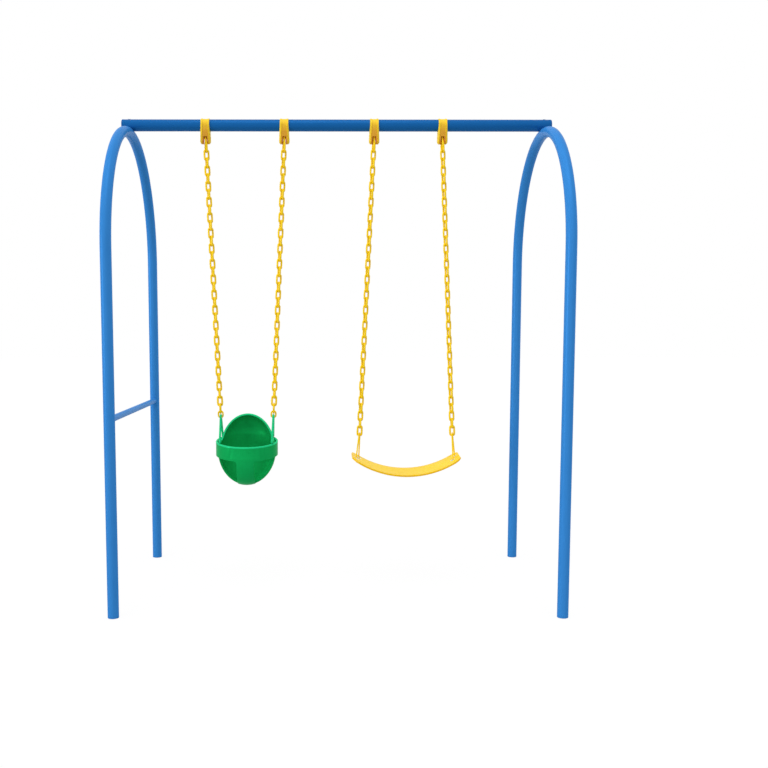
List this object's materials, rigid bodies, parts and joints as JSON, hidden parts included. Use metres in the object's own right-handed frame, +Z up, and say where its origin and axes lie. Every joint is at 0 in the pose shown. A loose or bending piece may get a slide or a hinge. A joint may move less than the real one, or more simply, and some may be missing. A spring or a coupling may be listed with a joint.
{
  "type": "swing set",
  "caption": "Free-standing swing frame with arched tube ends and a top beam, carrying a toddler bucket seat and a belt seat on coated chains.",
  "frame": {"origin": "on the ground, under the middle of the top beam", "axes": "+Z up, +X along the beam towards the belt swing, -Y towards the side that the bucket seat faces"},
  "size_m": [2.1106, 1.251, 2.3328],
  "materials": {
    "blue_powder_coat": "satin blue powder coat",
    "yellow_nylon": "moulded nylon",
    "yellow_chain_coating": "yellow plastic-dipped steel",
    "yellow_belt": "smooth moulded rubber",
    "green_moulding": "satin moulded plastic",
    "zinc_steel": "zinc-plated steel"
  },
  "bodies": {
    "frame": {"left_arch": "blue_powder_coat", "right_arch": "blue_powder_coat", "top_beam": "blue_powder_coat", "left_brace": "blue_powder_coat", "beam_left_end_cap": "blue_powder_coat", "beam_right_end_cap": "blue_powder_coat", "left_front_foot_plug": "blue_powder_coat", "left_rear_foot_plug": "blue_powder_coat", "right_front_foot_plug": "blue_powder_coat", "right_rear_foot_plug": "blue_powder_coat", "left_beam_bolt": "zinc_steel", "right_beam_bolt": "zinc_steel", "left_beam_nut": "zinc_steel", "right_beam_nut": "zinc_steel", "bucket_left_hanger": "yellow_nylon", "bucket_right_hanger": "yellow_nylon", "belt_left_hanger": "yellow_nylon", "belt_right_hanger": "yellow_nylon", "bucket_left_hanger_pin": "zinc_steel", "bucket_right_hanger_pin": "zinc_steel", "belt_left_hanger_pin": "zinc_steel", "belt_right_hanger_pin": "zinc_steel"},
    "bucket_chains": {"bucket_left_top_link": "yellow_chain_coating", "bucket_right_top_link": "yellow_chain_coating", "bucket_left_chain": "yellow_chain_coating", "bucket_right_chain": "yellow_chain_coating", "bucket_left_end_ring": "yellow_chain_coating", "bucket_right_end_ring": "yellow_chain_coating"},
    "bucket_seat": {"bucket_shell": "green_moulding", "bucket_front_guard": "green_moulding", "bucket_left_strap": "green_moulding", "bucket_right_strap": "green_moulding", "bucket_left_rivet": "zinc_steel", "bucket_right_rivet": "zinc_steel"},
    "belt_chains": {"belt_left_top_link": "yellow_chain_coating", "belt_right_top_link": "yellow_chain_coating", "belt_left_chain": "yellow_chain_coating", "belt_right_chain": "yellow_chain_coating"},
    "belt_sling": {"belt_seat": "yellow_belt", "belt_left_ring": "yellow_chain_coating", "belt_right_ring": "yellow_chain_coating", "belt_left_front_eyelet": "zinc_steel", "belt_left_rear_eyelet": "zinc_steel", "belt_right_front_eyelet": "zinc_steel", "belt_right_rear_eyelet": "zinc_steel"}
  },
  "joints": [
    {"name": "bucket_swing", "type": "hinge", "parent": "frame", "child": "bucket_chains", "pos_m": [-0.452, 0, 2.238], "axis": [1, 0, 0], "range_deg": [-60, 60]},
    {"name": "bucket_tilt", "type": "hinge", "parent": "bucket_chains", "child": "bucket_seat", "pos_m": [-0.452, 0, 0.85932], "axis": [1, 0, 0], "range_deg": [-35, 35]},
    {"name": "belt_swing", "type": "hinge", "parent": "frame", "child": "belt_chains", "pos_m": [0.352, 0, 2.238], "axis": [1, 0, 0], "range_deg": [-60, 60]},
    {"name": "belt_tilt", "type": "hinge", "parent": "belt_chains", "child": "belt_sling", "pos_m": [0.352, 0, 0.76839], "axis": [1, 0, 0], "range_deg": [-35, 35]}
  ]
}
